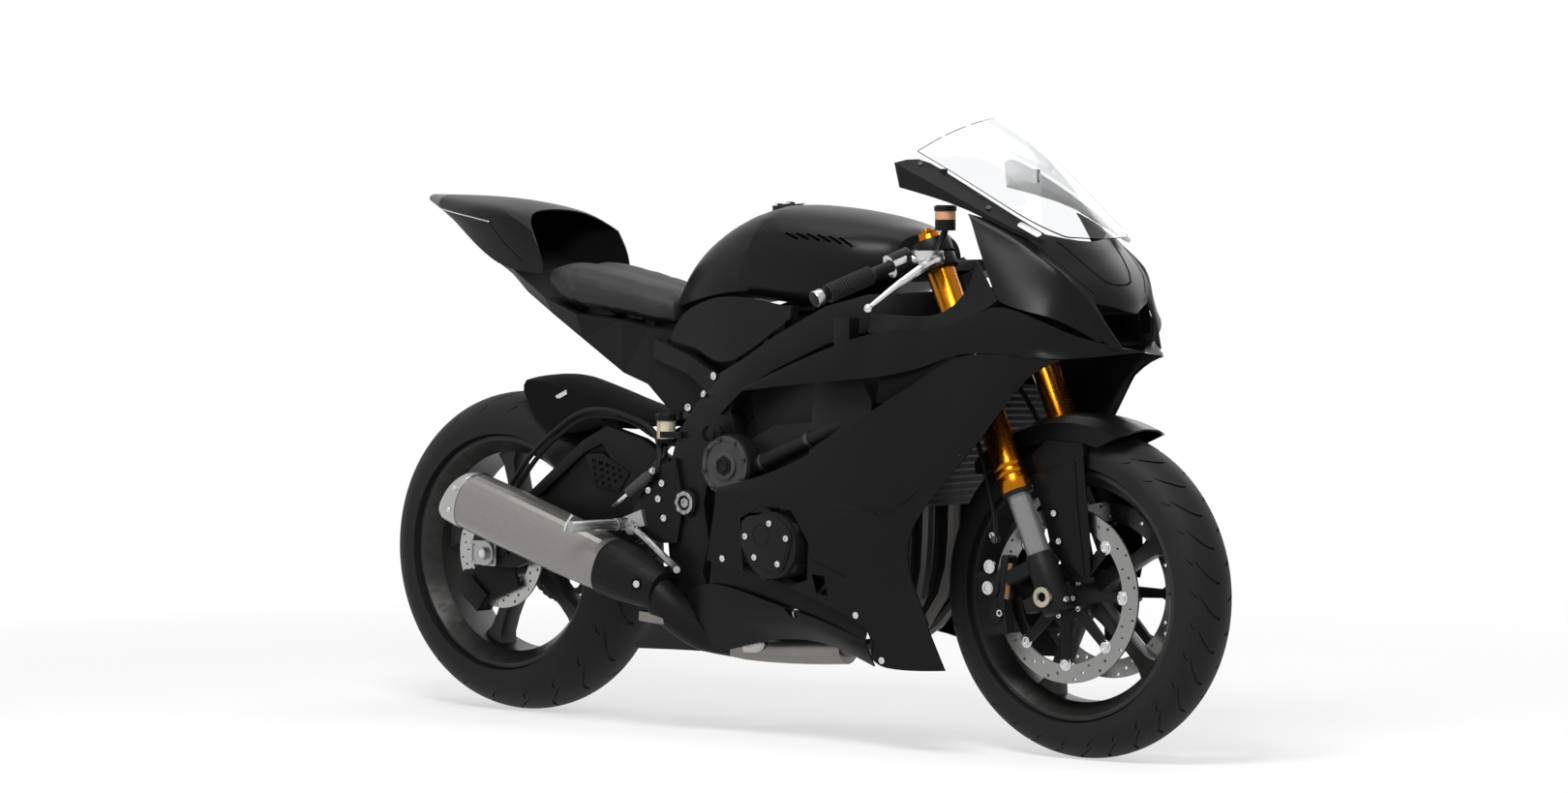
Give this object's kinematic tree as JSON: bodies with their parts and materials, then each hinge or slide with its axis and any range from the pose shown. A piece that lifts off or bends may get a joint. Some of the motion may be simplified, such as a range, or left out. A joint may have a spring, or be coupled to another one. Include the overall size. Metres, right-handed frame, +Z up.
{
  "type": "sport motorcycle",
  "caption": "Black fully faired track sport bike with gold fork, clear screen, five-spoke wheels and a short side silencer, held at the seat.",
  "frame": {"origin": "the rider's place on top of the seat, in the bike's middle plane", "axes": "+X forward, +Y to the bike's left, +Z up"},
  "size_m": [1.9899, 0.697, 1.16],
  "materials": {
    "body": "satin",
    "dark_metal": "satin",
    "bright_metal": "satin",
    "steel": "satin",
    "gold": "satin",
    "tyre": "matte",
    "rubber": "matte",
    "vinyl": "matte",
    "screen": "gloss"
  },
  "bodies": {
    "chassis": {"steering_head": "dark_metal", "frame_right": "dark_metal", "frame_left": "dark_metal", "engine": "dark_metal", "engine_covers": "dark_metal", "radiator": "dark_metal", "exhaust_headers": "steel", "silencer_pipe": "steel", "silencer_can": "steel", "silencer_end_cap": "bright_metal", "silencer_cover": "body", "fuel_tank": "body", "airbox_cover": "body", "side_covers": "body", "seat": "vinyl", "tail_cowl": "body", "undertray": "body", "swingarm": "dark_metal", "rear_axle_shaft": "bright_metal", "chain": "dark_metal", "rear_caliper": "dark_metal", "rear_shock": "steel", "rear_hugger": "body", "rearset_right": "bright_metal", "rearset_left": "bright_metal", "rear_reservoir": "body", "nose_cowl": "body", "screen": "screen", "screen_bars": "body", "intake_duct": "body", "dash": "body", "upper_panels": "body", "fairing_right": "body", "fairing_left": "body", "belly_pans": "body", "cockpit_panels": "body", "fairing_stays": "body", "pivot_shaft": "body"},
    "steering": {"front_axle_shaft": "bright_metal", "fork_bottoms": "dark_metal", "fork_inner_tubes": "bright_metal", "fork_outer_tubes": "gold", "lower_clamp": "dark_metal", "upper_clamp": "dark_metal", "handlebars": "dark_metal", "grips": "rubber", "brake_control": "bright_metal", "clutch_control": "bright_metal", "front_calipers": "dark_metal", "front_mudguard": "body", "brake_hoses": "rubber"},
    "front_wheel": {"front_tyre": "tyre", "front_rim": "dark_metal", "front_discs": "steel", "front_disc_carriers": "dark_metal"},
    "rear_wheel": {"rear_tyre": "tyre", "rear_rim": "dark_metal", "rear_disc": "steel", "rear_sprocket": "dark_metal"},
    "filler_lid": {"fuel_cap": "bright_metal"}
  },
  "joints": [
    {"name": "steering_turn", "type": "hinge", "parent": "chassis", "child": "steering", "pos_m": [0.8154, 0, -0.0613], "axis": [-0.4067, 0, 0.9135], "range_deg": [-27, 27]},
    {"name": "front_wheel_spin", "type": "hinge", "parent": "steering", "child": "front_wheel", "pos_m": [1.075, 0, -0.562], "axis": [0, 1, 0], "continuous": true},
    {"name": "rear_wheel_spin", "type": "hinge", "parent": "chassis", "child": "rear_wheel", "pos_m": [-0.3, 0, -0.547], "axis": [0, 1, 0], "continuous": true},
    {"name": "filler_lid_open", "type": "hinge", "parent": "chassis", "child": "filler_lid", "pos_m": [0.408, 0, 0.138], "axis": [0, 1, 0], "range_deg": [0, 95]}
  ]
}
